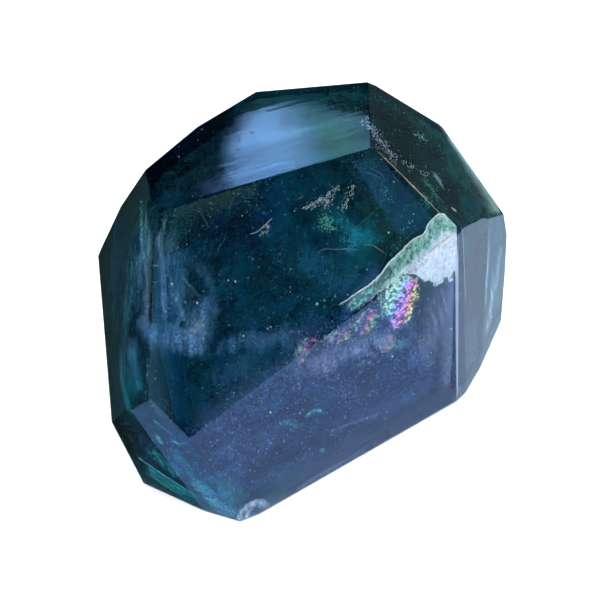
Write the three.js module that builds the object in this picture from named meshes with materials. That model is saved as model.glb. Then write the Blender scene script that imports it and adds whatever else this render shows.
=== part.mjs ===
// Fluorite freeform: one solid crystal, cut and polished with flat facets on every side, that stands on
// a flat cut base. Millimetres, +Z up, origin at the middle of the footprint. The crown leans up, the
// large face and the skirt below it look towards -Y, and the base rests on z = 0.
import * as THREE from 'three';
import { ConvexGeometry } from 'three/addons/geometries/ConvexGeometry.js';

// Worn edges: the radius that polishing left along every edge, and the flats that stand for its curve.
const EDGE_RADIUS = 0.3;
const EDGE_STEPS = 5;

// The cutting chart. Each facet is a plane: the bearing of its outward normal from +X towards +Y, the
// rise of that normal above the horizon (both in degrees), and its reach from the heart of the stone (mm).
const FACETS = [
  // the sides that a viewer in front looks down on
  { name: 'crown', bearing: -17, rise: 79.5, reach: 15.0 },
  { name: 'face', bearing: -55, rise: 34.5, reach: 4.6 },
  { name: 'skirt', bearing: -52.5, rise: 21, reach: 5.4 },
  { name: 'toe', bearing: -111.5, rise: -4.5, reach: 22.8 },
  { name: 'toe flank', bearing: -121, rise: -9.5, reach: 24.4 },
  { name: 'left shoulder', bearing: -152, rise: 25.5, reach: 22.2 },
  { name: 'left upper', bearing: -169.5, rise: 22, reach: 22.9 },
  { name: 'left lower', bearing: -165, rise: 16, reach: 22.5 },
  { name: 'right shoulder', bearing: -2, rise: 44, reach: 15.8 },
  { name: 'right rim', bearing: 5, rise: 36.5, reach: 19.0 },
  { name: 'right flank', bearing: -24.5, rise: 12.5, reach: 14.2 },
  { name: 'right edge', bearing: -19.5, rise: 9.5, reach: 16.4 },
  { name: 'right bevel', bearing: -39.5, rise: 17.5, reach: 9.5 },
  { name: 'face corner', bearing: -45, rise: 34.5, reach: 7.4 },
  { name: 'toe chip', bearing: -63, rise: -10.5, reach: 17.7 },
  // the sides turned away
  { name: 'left tuck', bearing: 176.5, rise: -17.5, reach: 22.3 },
  { name: 'left back', bearing: 154, rise: 18, reach: 23.5 },
  { name: 'back left upper', bearing: 142.5, rise: 25, reach: 22.5 },
  { name: 'back left', bearing: 135, rise: 14, reach: 20.4 },
  { name: 'back', bearing: 105, rise: 15, reach: 22.9 },
  { name: 'back right', bearing: 88.5, rise: 15.5, reach: 26.2 },
  { name: 'right back', bearing: 53, rise: 2.5, reach: 31.0 },
  { name: 'right tuck', bearing: 14.5, rise: -15.5, reach: 31.4 },
  { name: 'back left tuck', bearing: 150, rise: -30, reach: 20.7 },
  { name: 'back tuck', bearing: 98, rise: -38, reach: 21.4 },
  { name: 'back right tuck', bearing: 62, rise: -30, reach: 29.7 },
  // the flat that the stone stands on
  { name: 'base', bearing: 0, rise: -90, reach: 17.2 },
];

// Outward unit normal of a facet.
function facetNormal({ bearing, rise }) {
  const turn = THREE.MathUtils.degToRad(bearing);
  const lift = THREE.MathUtils.degToRad(rise);
  const level = Math.cos(lift);
  return new THREE.Vector3(level * Math.cos(turn), level * Math.sin(turn), Math.sin(lift));
}

// Where three planes meet, or null where two of them are parallel.
function meetingPoint(a, b, c) {
  const bc = new THREE.Vector3().crossVectors(b.normal, c.normal);
  const volume = a.normal.dot(bc);
  if (Math.abs(volume) < 1e-6) return null;
  const ca = new THREE.Vector3().crossVectors(c.normal, a.normal);
  const ab = new THREE.Vector3().crossVectors(a.normal, b.normal);
  return bc.multiplyScalar(a.reach).addScaledVector(ca, b.reach).addScaledVector(ab, c.reach)
    .divideScalar(volume);
}

// Corners of the solid that the planes enclose: each is a meeting of three planes inside all the others.
function findCorners(planes) {
  const corners = [];
  for (let i = 0; i < planes.length; i++) {
    for (let j = i + 1; j < planes.length; j++) {
      for (let k = j + 1; k < planes.length; k++) {
        const point = meetingPoint(planes[i], planes[j], planes[k]);
        if (!point) continue;
        const inside = planes.every(({ normal, reach }) => normal.dot(point) < reach + 1e-7);
        if (inside) corners.push({ point, normals: [planes[i], planes[j], planes[k]].map((p) => p.normal) });
      }
    }
  }
  return corners;
}

// A worn corner: points on a small ball at the corner, spread evenly between its three facet normals.
function wornCorner({ point, normals }) {
  const points = [];
  for (let i = 0; i <= EDGE_STEPS; i++) {
    for (let j = 0; j <= EDGE_STEPS - i; j++) {
      const direction = new THREE.Vector3()
        .addScaledVector(normals[0], i)
        .addScaledVector(normals[1], j)
        .addScaledVector(normals[2], EDGE_STEPS - i - j)
        .normalize();
      points.push(point.clone().addScaledVector(direction, EDGE_RADIUS));
    }
  }
  return points;
}

// The stone: the planes are drawn in by the edge radius, a ball is set at each corner that they then
// enclose, and the skin stretched over all the balls has flat facets on the chart's planes and worn edges.
function stoneGeometry() {
  const planes = FACETS.map((facet) => ({ normal: facetNormal(facet), reach: facet.reach - EDGE_RADIUS }));
  const geometry = new ConvexGeometry(findCorners(planes).flatMap(wornCorner));
  geometry.computeBoundingBox();
  const { min, max } = geometry.boundingBox;
  geometry.translate(-(min.x + max.x) / 2, -(min.y + max.y) / 2, -min.z);
  return geometry;
}

const fluorite = new THREE.MeshStandardMaterial({ color: 0x14323f, roughness: 0.06, metalness: 0 });

const stone = new THREE.Mesh(stoneGeometry(), fluorite);
stone.name = 'fluorite_freeform';

const freeform = new THREE.Group();
freeform.add(stone);

export default freeform;
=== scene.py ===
"""Fluorite freeform: the look of one polished, see-through crystal around its fixed frame.

The stone is the frame's own solid with a glass finish.  What lies inside it is laid here:
clouds, veils, a cleavage crack with its rainbow films, healed threads and bright grains, and a few
films and lines just under the right rim, bevel and shoulder edge that are painted highlights and
reflections.
"""
import math

import bpy
import numpy as np
from mathutils import Matrix, Vector


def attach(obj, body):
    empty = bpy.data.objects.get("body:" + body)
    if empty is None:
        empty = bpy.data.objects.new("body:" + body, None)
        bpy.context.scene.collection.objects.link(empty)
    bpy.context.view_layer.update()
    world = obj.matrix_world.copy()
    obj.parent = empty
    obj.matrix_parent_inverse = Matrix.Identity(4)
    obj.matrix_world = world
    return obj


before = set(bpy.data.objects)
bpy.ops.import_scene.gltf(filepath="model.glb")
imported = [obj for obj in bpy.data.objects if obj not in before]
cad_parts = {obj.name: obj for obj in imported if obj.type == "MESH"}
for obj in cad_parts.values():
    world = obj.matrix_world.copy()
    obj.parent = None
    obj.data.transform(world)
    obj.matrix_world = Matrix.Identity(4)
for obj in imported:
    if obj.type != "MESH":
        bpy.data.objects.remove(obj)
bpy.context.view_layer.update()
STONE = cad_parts["fluorite_freeform"]
SCENE = bpy.context.scene

MM = 0.001
HEART = np.array((-0.857, -3.539, 17.2)) * MM  # where the reach of every flat is measured from
CORE = np.array((-2.4, 2.6, 15.0)) * MM  # what the clouds inside are rounded about
REFRACTION = 1.434
ABSORBED = (450.0, 170.0, 118.0)  # red, green and blue light lost for each metre of stone
POLISH = -43.0  # the turn of the polishing lines on the crown, in degrees
# Pits on the crown: along, up and radius, in millimetres.
PITS = ((9.1, 11.7, 0.17), (8.3, 11.2, 0.14), (7.2, 12.7, 0.18), (5.6, 12.3, 0.17), (8.9, 13.5, 0.15),
        (9.3, 7.6, 0.16))

# Each flat of the stone, as it was cut: the bearing and the rise of its outward side, in degrees.
FLATS = {
    "crown": (-17, 79.5), "face": (-55, 34.5), "skirt": (-52.5, 21), "toe": (-111.5, -4.5),
    "toe flank": (-121, -9.5), "left shoulder": (-152, 25.5), "left upper": (-169.5, 22),
    "left lower": (-165, 16), "right shoulder": (-2, 44), "right rim": (5, 36.5),
    "right flank": (-24.5, 12.5), "right edge": (-19.5, 9.5), "right bevel": (-39.5, 17.5),
    "left back": (154, 18), "back left": (135, 14), "back": (105, 15), "back right": (88.5, 15.5),
    "right back": (53, 2.5), "back left tuck": (150, -30), "back tuck": (98, -38),
    "back right tuck": (62, -30), "right tuck": (14.5, -15.5), "base": (0, -90),
    "back left upper": (142.5, 25), "left tuck": (176.5, -17.5), "face corner": (-45, 34.5),
    "toe chip": (-63, -10.5),
}


def aim(bearing, rise):
    """The unit direction at a bearing from +X and a rise above the level, both in degrees."""
    b, e = math.radians(bearing), math.radians(rise)
    return np.array((math.cos(e) * math.cos(b), math.cos(e) * math.sin(b), math.sin(e)))


# ---------------------------------------------------------------- the stone's own flats

def face_values(field, width):
    """One value, or one vector, for each face of the stone."""
    values = np.empty(len(STONE.data.polygons) * width, dtype=np.float32)
    STONE.data.polygons.foreach_get(field, values)
    return values.reshape(-1, width).astype(float)


OUTWARD = face_values("normal", 3)
AREAS = face_values("area", 1)[:, 0]
MIDDLES = face_values("center", 3)
LEVELS = (OUTWARD * MIDDLES).sum(axis=1)


def within(points, margin=0.15 * MM):
    """Points moved straight in, flat after flat, wherever they lie less than the margin beneath one."""
    points = points.copy()
    for name in FLATS:
        flat = Flat(name)
        over = (points - HEART) @ flat.out - flat.reach + margin
        points -= np.maximum(over, 0)[..., None] * flat.out
    return points


class Flat:
    """A flat of the stone: its outward side, two directions along it, its middle and its reach."""

    def __init__(self, name):
        bearing, rise = FLATS[name]
        self.out = aim(bearing, rise)
        self.along = aim(bearing + 90, 0)
        self.up = np.cross(self.out, self.along)
        own = OUTWARD @ self.out > 0.99995
        share = AREAS[own] / AREAS[own].sum()
        self.middle = share @ MIDDLES[own]
        self.reach = share @ LEVELS[own] - HEART @ self.out

    def under(self, along, up, depth):
        """Points in metres, from millimetres along the flat, up it and beneath it."""
        place = HEART + self.reach * self.out
        for distance, way in ((along, self.along), (up, self.up), (depth, -self.out)):
            place = place + np.multiply.outer(np.asarray(distance, float) * MM, way)
        return place


# ---------------------------------------------------------------- shader writing

class Wire:
    """One output of a node: sums, differences, products and powers of wires add their own Math nodes."""

    def __init__(self, bench, socket):
        self.bench, self.socket = bench, socket

    def __add__(self, other):
        return self.bench.math("ADD", self, other)

    __radd__ = __add__

    def __mul__(self, other):
        return self.bench.math("MULTIPLY", self, other)

    __rmul__ = __mul__

    def __sub__(self, other):
        return self.bench.math("SUBTRACT", self, other)

    def __rsub__(self, other):
        return self.bench.math("SUBTRACT", other, self)

    def __pow__(self, other):
        return self.bench.math("POWER", self, other)


class Bench:
    """The node tree of one material, light or world, and the ways to add nodes to it."""

    def __init__(self, owner):
        owner.use_nodes = True
        self.tree = owner.node_tree

    def add(self, kind, settings=None, values=None, out=0):
        """Adds a node: its settings first, then the value or the wire of each socket."""
        node = self.tree.nodes.new("ShaderNode" + kind)
        for key, value in (settings or {}).items():
            setattr(node, key, value)
        self.feed(node, values or {})
        return Wire(self, node.outputs[out])

    def feed(self, node, values):
        for key, value in values.items():
            if isinstance(value, Wire):
                self.tree.links.new(value.socket, node.inputs[key])
            else:
                node.inputs[key].default_value = value

    def own(self, kind):
        """The node of a kind that the tree came with."""
        return next(node for node in self.tree.nodes if node.bl_idname == "ShaderNode" + kind)

    def math(self, operation, *terms):
        return self.add("Math", {"operation": operation}, dict(enumerate(terms)))

    def vector(self, operation, *terms, out=0):
        return self.add("VectorMath", {"operation": operation}, dict(enumerate(terms)), out)

    def most(self, first, second):
        return self.math("MAXIMUM", first, second)

    def held(self, wire):
        """A wire held between nought and one."""
        return self.add("Clamp", None, {0: wire})

    def ease(self, wire, low, high):
        """A smooth step from nought at low to one at high; turned round when low is the greater."""
        if low > high:
            return 1 - self.ease(wire, high, low)
        values = {0: wire, 1: low, 2: high}
        return self.add("MapRange", {"interpolation_type": "SMOOTHSTEP"}, values)

    def mix(self, factor, first, second, blend="MIX"):
        settings = {"data_type": "RGBA", "blend_type": blend}
        return self.add("Mix", settings, {0: factor, 6: first, 7: second}, 2)

    def part(self, wire, index):
        """One of the three parts of a vector or a colour."""
        return self.add("SeparateXYZ", None, {0: wire}, index)

    def place(self):
        """Where a point of the piece is, in metres."""
        return self.add("TexCoord", None, None, "Object")

    def cloth(self):
        """A sheet's own two measures, each from nought to one."""
        both = self.add("UVMap")
        return self.part(both, 0), self.part(both, 1)

    def noise(self, where, scale, detail=2.0, roughness=0.5, distortion=0.0):
        values = {"Vector": where, "Scale": scale, "Detail": detail,
                  "Roughness": roughness, "Distortion": distortion}
        return self.add("TexNoise", None, values)

    def cells(self, where, scale, feature="F1", out="Distance"):
        values = {"Vector": where, "Scale": scale}
        return self.add("TexVoronoi", {"feature": feature}, values, out)

    def distance(self, where, point):
        return self.vector("DISTANCE", where, tuple(point), out="Value")

    def along(self, where, way):
        return self.vector("DOT_PRODUCT", where, tuple(way), out="Value")

    def stretched(self, where, flat, along, up, out=1.0, turn=0.0):
        """A place measured along, up and off a flat, each by its own factor, after a turn about it."""
        c, s = math.cos(math.radians(turn)), math.sin(math.radians(turn))
        ways = (flat.along * c + flat.up * s, along), (flat.up * c - flat.along * s, up), (flat.out, out)
        parts = [self.along(where, way) * factor for way, factor in ways]
        return self.add("CombineXYZ", None, dict(enumerate(parts)))


def color(red, green, blue):
    """A colour with full cover, as the shaders' sockets take it."""
    return (red, green, blue, 1.0)


# ---------------------------------------------------------------- meshes

def settle(name, points, faces, finish, uv=None):
    """Puts points and faces into a mesh piece that rides on the stone."""
    mesh = bpy.data.meshes.new(name)
    mesh.from_pydata(points.tolist(), [], faces if isinstance(faces, list) else faces.tolist())
    mesh.polygons.foreach_set("use_smooth", [True] * len(faces))
    if uv is not None:
        layer = mesh.uv_layers.new(name="cloth")
        layer.data.foreach_set("uv", uv[faces.ravel()].ravel())
    mesh.materials.append(finish)
    mesh.update()
    piece = bpy.data.objects.new(name, mesh)
    SCENE.collection.objects.link(piece)
    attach(piece, "root")
    return piece


def lay_grid(name, grid, outward, finish):
    """A grid of points (rows, columns, 3) as a sheet of four-sided faces whose fronts look outward."""
    rows, columns = grid.shape[:2]
    row, column = np.meshgrid(np.arange(rows - 1), np.arange(columns - 1), indexing="ij")
    corner = (row * columns + column).ravel()
    faces = np.stack((corner, corner + columns, corner + columns + 1, corner + 1), axis=1)
    middle = (rows // 2, columns // 2)
    down = grid[middle[0] + 1, middle[1]] - grid[middle]
    across = grid[middle[0], middle[1] + 1] - grid[middle]
    if np.cross(down, across) @ outward < 0:
        faces = faces[:, ::-1]
    s, t = np.meshgrid(np.linspace(0, 1, rows), np.linspace(0, 1, columns), indexing="ij")
    uv = np.stack((s.ravel(), t.ravel()), axis=1)
    return settle(name, grid.reshape(-1, 3), faces, finish, uv)


def cloud_skin(name, depth, edge, finish, rings=60, spokes=120):
    """A closed, rounded form beneath all the flats at once.

    In each direction from the core the distance to every flat, less the depth, is found, and the
    skin lies at a soft least of them: one over the root of the summed powers of their inverses.
    The greater the power, named edge, the sharper the form follows the flats.
    """
    tilt = np.linspace(0, math.pi, rings + 1)[1:-1, None]
    turn = np.linspace(0, 2 * math.pi, spokes, endpoint=False)[None, :]
    level = np.sin(tilt)
    way = np.stack((level * np.cos(turn), level * np.sin(turn), np.cos(tilt) + 0 * turn), axis=2)
    way = np.concatenate((way.reshape(-1, 3), ((0, 0, 1), (0, 0, -1))))
    flats = [Flat(flat) for flat in FLATS]
    outs = np.array([flat.out for flat in flats])
    room = np.array([flat.reach for flat in flats]) - outs @ (CORE - HEART) - depth * MM
    nearness = np.maximum(way @ outs.T, 0) / room
    reach = (nearness ** edge).sum(axis=1) ** (-1 / edge)
    points = CORE + way * reach[:, None]
    ring, spoke = np.meshgrid(np.arange(rings - 2), np.arange(spokes), indexing="ij")
    here, beside = (ring * spokes + spoke).ravel(), (ring * spokes + (spoke + 1) % spokes).ravel()
    faces = np.stack((here, here + spokes, beside + spokes, beside), axis=1).tolist()
    first, last, top = np.arange(spokes), np.arange(spokes) + (rings - 2) * spokes, (rings - 1) * spokes
    faces += np.stack((np.full(spokes, top), first, np.roll(first, -1)), axis=1).tolist()
    faces += np.stack((last, np.full(spokes, top + 1), np.roll(last, -1)), axis=1).tolist()
    return settle(name, points, faces, finish)


def smooth_line(stops, count):
    """A smooth run of points through the stops: each span is a cubic with its ends' places and slopes."""
    stops = np.asarray(stops, float)
    slope = np.gradient(stops, axis=0)
    step = np.linspace(0, len(stops) - 1, count)
    span = np.minimum(step.astype(int), len(stops) - 2)
    f = (step - span)[:, None]
    start, end, leave, arrive = stops[span], stops[span + 1], slope[span], slope[span + 1]
    return (start * (2 * f ** 3 - 3 * f ** 2 + 1) + end * (3 * f ** 2 - 2 * f ** 3)
            + leave * (f ** 3 - 2 * f ** 2 + f) + arrive * (f ** 3 - f ** 2))


def film(name, flat, first, second, depths, finish, rows=61, columns=21):
    """A thin film ruled between two smooth edges, sinking from the first depth to the second."""
    a, b = smooth_line(first, rows), smooth_line(second, rows)
    t = np.linspace(0, 1, columns)
    spread = a[:, None, :] * (1 - t)[None, :, None] + b[:, None, :] * t[None, :, None]
    ripple = 0.03 * np.sin(spread[..., 0] * 2.3) * np.sin(spread[..., 1] * 1.9)
    depth = depths[0] * (1 - t) + depths[1] * t + ripple
    grid = within(flat.under(spread[..., 0], spread[..., 1], depth))
    return lay_grid(name, grid, flat.out, finish)


def ribbon_edges(stops, half):
    """Both edges of a ribbon along a smooth line; its half width may run from one value to another."""
    wider = 1.25  # since the finish fades out towards both edges
    line = smooth_line(stops, 41)
    ends = half if isinstance(half, tuple) else (half, half)
    half = np.linspace(*ends, 41)[:, None] * wider
    ahead = np.gradient(line, axis=0)
    side = np.stack((-ahead[:, 1], ahead[:, 0]), axis=1) / np.linalg.norm(ahead, axis=1)[:, None]
    return line - side * half, line + side * half


def thread(name, flat, depth, stops, width, finish, seed, sides=6):
    """A healed hairline, and also the painted highlight and reflection lines along edges: a small uneven
    ring carried along a smooth line, pointed at both ends.
    """
    line = smooth_line(stops, 10 * len(stops))
    wobble = np.random.default_rng(seed).normal(0, 0.03, line.shape)
    line[1:-1] += wobble[1:-1]
    spine = within(flat.under(line[:, 0], line[:, 1], depth))
    ahead = np.gradient(spine, axis=0)
    ahead /= np.linalg.norm(ahead, axis=1)[:, None]
    side = np.cross(ahead, flat.out)
    share = np.linspace(0, 1, len(spine))
    body = width * 0.4 * MM * (0.06 + np.sin(share * math.pi) ** 0.35)
    body *= 1 + 0.35 * np.sin(share * 37 + seed) * np.sin(share * 91)
    turn = np.linspace(0, 2 * math.pi, sides, endpoint=False)
    ring = np.cos(turn)[None, :, None] * side[:, None, :] + np.sin(turn)[None, :, None] * flat.out
    points = spine[:, None, :] + ring * body[:, None, None]
    rows = np.arange(len(spine) - 1)[:, None] * sides
    turn = np.arange(sides)[None, :]
    beside = (turn + 1) % sides
    faces = np.stack((rows + turn, rows + sides + turn, rows + sides + beside, rows + beside), axis=2)
    return settle(name, points.reshape(-1, 3), faces.reshape(-1, 4), finish)


def grains(name, flat, places, sizes, finish, seed=3, lie=None):
    """Tiny eight-sided tablets along a flat, as one joined mesh: lying one way or strewn."""
    shape = np.array(((1, 0, 0), (0, 1, 0), (-1, 0, 0), (0, -1, 0), (0, 0, 0.3), (0, 0, -0.3)), float)
    sides = np.array(((0, 1, 4), (1, 2, 4), (2, 3, 4), (3, 0, 4), (1, 0, 5), (2, 1, 5), (3, 2, 5),
                      (0, 3, 5)))
    draw = np.random.default_rng(seed)
    turn = draw.uniform(0, math.pi, len(places))[:, None]
    if lie is not None:
        turn = math.radians(lie) + draw.normal(0, 0.3, len(places))[:, None]
    first = flat.along * np.cos(turn) + flat.up * np.sin(turn)
    second = np.cross(flat.out, first)
    lean = draw.normal(0, 0.12, (len(places), 3)) + flat.out
    stretch = draw.uniform(0.6, 1.3, (len(places), 1, 3)) * np.asarray(sizes)[:, None, None] * 0.5 * MM
    if lie is not None:
        stretch = stretch * (1.9, 0.6, 1.0)
    tablet = (shape[None] * stretch) @ np.stack((first, second, lean), axis=1)
    points = places[:, None, :] + tablet
    faces = sides[None] + 6 * np.arange(len(places))[:, None, None]
    return settle(name, points.reshape(-1, 3), faces.reshape(-1, 3), finish)


def strewn(flat, stops, count, spread, depth, seed):
    """Places strewn along a line beneath a flat, thickest on the line itself."""
    draw = np.random.default_rng(seed)
    line = smooth_line(stops, 400)[draw.integers(0, 400, count)]
    line = line + draw.normal(0, 1, line.shape) * spread * draw.uniform(0.2, 1, (count, 1))
    return within(flat.under(line[:, 0], line[:, 1], depth + draw.uniform(-0.15, 0.25, count)))


# ---------------------------------------------------------------- finishes

def finish_bench(name):
    """A new material, its bench and its main shader."""
    material = bpy.data.materials.new(name)
    bench = Bench(material)
    return material, bench, bench.own("BsdfPrincipled")


def stone_finish():
    """Polished glass-like stone that drinks red first, with fine polishing lines and a few pits."""
    material, bench, shader = finish_bench("fluorite")
    crown = Flat("crown")
    where = bench.place()
    lines = bench.noise(bench.stretched(where, crown, 45, 2400, 45, POLISH), 1.0, 3.0, 0.6)
    swell = bench.noise(bench.stretched(where, crown, 40, 520, 40, POLISH), 1.0, 2.0, 0.5)
    height = lines * 0.35 + swell * 1.6 + bench.noise(where, 200, 1.0) * 0.8
    for along, up, size in PITS:
        height = height - bench.ease(bench.distance(where, crown.under(along, up, 0)), size * MM, 0.0) * 26
    bump = bench.add("Bump", None, {"Height": height, "Distance": 2e-6, "Strength": 1.0})
    bench.feed(shader, {"Base Color": color(1, 1, 1), "Transmission Weight": 1.0, "IOR": REFRACTION,
                        "Roughness": 0.02, "Normal": bump})
    top = max(ABSORBED)
    tint = color(*(1 - a / top for a in ABSORBED))
    volume = bench.add("VolumeAbsorption", None, {"Color": tint, "Density": top})
    bench.feed(bench.own("OutputMaterial"), {"Volume": volume})
    return material


def cloud_finish(name, tints, skirt_tints, cover, scale, offset=0.0, rear=0.0, dust=0.0):
    """Cloud inside the stone: slow clouds thicken it, finer ones mottle it, needles streak it.

    The tints are a dark, a pale and another pale one, and others under the skirt.  The cloud is thicker or
    thinner about the places in GLOWS_INSIDE and thicker by the rear gain behind the core, and three
    sizes of pale dots are strewn in it where there is dust.
    """
    material, bench, shader = finish_bench(name)
    place = bench.place()
    where = bench.vector("ADD", place, (offset, offset * 0.7, offset * 1.3))
    slow = bench.noise(where, scale, 2.0, 0.5, 0.15)
    mottle = bench.noise(where, scale * 4, 4.0, 0.65, 0.3)
    fine = bench.noise(where, scale * 16, 3.0, 0.7)
    grit = bench.noise(where, 4200, 2.0, 0.8)
    needles = bench.noise(bench.stretched(where, Flat("skirt"), 70, 600, 300), 1.0, 3.0, 0.6, 0.2)
    # beneath the skirt the cloud is rougher, more streaked and a little thinner; beneath the face more even
    low = under_skirt(bench, place)
    rough = 0.4 + low * 0.6
    even = 1 - low
    cloudy = bench.ease(slow, 0.34, 0.66) * (0.6 - even * 0.2)
    blotchy = bench.ease(mottle, 0.38, 0.68) * (0.92 - even * 0.6)
    streaky = bench.ease(needles, 0.48, 0.7) * (0.3 + low * 0.25)
    grainy = bench.ease(fine, 0.38, 0.62) * 0.9 + bench.ease(grit, 0.42, 0.6) * 0.7
    cloud = (cloudy + blotchy + even * 0.12 + streaky + 0.14 - low * 0.16) * (1 - low * 0.2)
    cloud = cloud * (1.05 - rough * 0.8 + grainy * rough)
    for flat, along, up, depth, radius, gain in GLOWS_INSIDE:
        far = bench.distance(place, Flat(flat).under(along, up, depth))
        cloud = cloud * (1 + bench.ease(far, radius * MM, 0.0) * gain)
    behind = bench.ease(bench.along(place, aim(60, 0)), 4 * MM, 12 * MM)
    cloud = cover * cloud * (1 + behind * rear)
    shade = bench.ease(mottle, 0.38, 0.66) * (1 - even * 0.4) + even * 0.2
    turned = bench.ease(bench.noise(where, scale * 1.3, 2.0), 0.38, 0.64)
    upper, lower = (bench.mix(shade, color(*dark), bench.mix(turned, color(*pale), color(*other)))
                    for dark, pale, other in (tints, skirt_tints))
    tint = bench.mix(low, upper, lower)
    if dust:
        dots = dots_in(bench, where, 1300, (0.17, 0.09), (1 - dust, 1.02 - dust))
        fleck = dots_in(bench, where, 2300, (0.4, 0.2), (0.5, 0.9)) * (0.16 + low * 0.84)
        point = dots_in(bench, where, 3900, (0.5, 0.25), (0.5, 0.9)) * (0.4 + low * 0.6)
        cloud = cloud + dots * 0.5 + fleck * 0.4 + point * 0.3
        tint = bench.mix(bench.held(fleck + point) * 0.8, tint, color(0.66, 0.64, 0.95))
        tint = bench.mix(dots * 0.8, tint, color(0.80, 0.85, 0.95))
    bump = bench.add("Bump", None, {"Height": mottle + fine * 0.3, "Distance": 0.0012, "Strength": 0.7})
    bench.feed(shader, {"Base Color": tint, "Roughness": 0.8, "Alpha": bench.held(cloud),
                        "Specular IOR Level": 0.0, "Normal": bump})
    return material


def dots_in(bench, where, scale, edge, chosen):
    """Round dots, one to a cell in the chosen share of the cells, and soft at their edge."""
    pick = bench.part(bench.cells(where, scale, out="Color"), 0)
    return bench.ease(bench.cells(where, scale), *edge) * bench.ease(pick, *chosen)


def under_skirt(bench, place):
    """One beneath the skirt, nought beneath the face: they meet where both are equally far away."""
    face, skirt = Flat("face"), Flat("skirt")
    way = skirt.out - face.out
    ridge = HEART @ way + skirt.reach - face.reach
    return bench.ease(bench.along(place, way), ridge - 0.2 * MM, ridge + 0.15 * MM)


def plain_finish(name, tint, metal):
    """Bright solid mineral, each small part of it a little lighter, darker or otherwise tinted."""
    material, bench, shader = finish_bench(name)
    pick = bench.cells(bench.place(), 1300, out="Color")
    shade = bench.mix(bench.part(pick, 1), color(*(c * 0.6 for c in tint)), color(*tint))
    shade = bench.mix(0.14, shade, pick, "MULTIPLY")
    bench.feed(shader, {"Base Color": shade, "Roughness": 0.6, "Metallic": metal})
    return material


def crack_finish(name, closed, white_from, white_to, down):
    """The cleaved film: white where it is open, its closed tints, dark and pale, where it is healing."""
    material, bench, shader = finish_bench(name)
    where = bench.place()
    s, t = bench.cloth()
    mottle = bench.noise(where, 700, 4.0, 0.7, 0.6)
    fine = bench.noise(where, 2600, 3.0, 0.7, 0.4)
    combed = bench.add("CombineXYZ", None, {0: s * 24 + t * 3, 1: t * 2.6, 2: 0.0})
    streak = bench.noise(combed, 1.0, 4.0, 0.7, 0.5)
    openness = bench.ease(s + t * down + (mottle - 0.5) * 0.9, white_from, white_to)
    healed = bench.mix(bench.ease(fine * 0.4 + streak * 0.6, 0.36, 0.64),
                       *(color(*tint) for tint in closed))
    patchy = bench.ease(bench.noise(where, 330, 3.0, 0.6, 0.5), 0.5, 0.62)
    healed = bench.mix(patchy * 0.6, healed, color(0.62, 0.76, 0.80))
    crumbled = bench.ease(fine * 0.5 + streak * 0.3 + mottle * 0.2, 0.36, 0.62)
    white = bench.mix(crumbled, color(0.40, 0.46, 0.62), color(0.80, 0.80, 0.84))
    white = bench.mix(bench.ease(mottle, 0.56, 0.7) * 0.4, white, color(0.88, 0.62, 0.90))
    tint = bench.mix(openness, healed, white)
    flaky = bench.ease(streak * 0.5 + fine * 0.5, 0.38, 0.62)
    body = 0.14 + flaky * 0.4 + bench.ease(s, 0.2, 0.8) * 0.3 + openness * 0.6
    ragged = t + (mottle - 0.5) * 1.3 + (fine - 0.5) * 0.4
    edge = bench.ease(ragged, 0.92, 0.84) * bench.ease(s + (streak - 0.5) * 0.6, 0.02, 0.5)
    bench.feed(shader, {"Base Color": tint, "Roughness": 0.4, "Metallic": openness * 0.1,
                        "Alpha": bench.held(body) * edge})
    return material


def rainbow_finish(name, first_hue, turn, cover):
    """Thin-film colours: the gap widens across the film, so its hue runs on, broken into bright flakes."""
    material, bench, shader = finish_bench(name)
    where = bench.place()
    s, t = bench.cloth()
    torn = bench.noise(where, 900, 4.0, 0.65, 1.0)
    shift = bench.add("CombineXYZ", None, {0: torn * 0.0009, 1: torn * 0.0007, 2: torn * 0.0008})
    where = bench.vector("ADD", where, shift)
    flakes = 3000  # to the metre
    flaked = bench.stretched(where, Flat("skirt"), flakes, flakes * 0.7, flakes, 62)
    pick = bench.part(bench.cells(flaked, 1.0, out="Color"), 0)
    gap = bench.cells(flaked, 1.0)
    far = (s + t) * 0.5 + (torn - 0.5) * 0.45
    runs = bench.ease(far, 0.28, 0.6) * 0.9 + bench.ease(far, 0.56, 0.76) * 0.56
    hue = bench.math("FRACT", first_hue + runs * turn + (pick - 0.5) * 0.12)
    strength = 0.45 + bench.ease(far, 0.2, 0.6) * 0.4 - pick * 0.25
    circle = bench.add("CombineColor", {"mode": "HSV"}, {0: hue, 1: strength, 2: 1.0})
    middle = bench.math("SQRT", (s * 2 - 1) ** 2 + (t * 2 - 1) ** 2)
    body = bench.ease(middle + (torn - 0.5) * 2.6, 1.2, 0.7)
    shown = bench.ease(gap, 0.74, 0.46) * bench.ease(pick, 0.12, 0.4)
    flake = 0.15 + shown * (0.55 + bench.ease(far, 0.3, 0.6) * 0.5)
    bench.feed(shader, {"Base Color": circle, "Roughness": 0.4, "Metallic": 0.3,
                        "Alpha": bench.held(body * flake * cover)})
    return material


# The way that a veil's fibres lie on each flat, in degrees.
LIES = {"face": -26, "left shoulder": 39, "toe": 90, "toe flank": 90}


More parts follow.
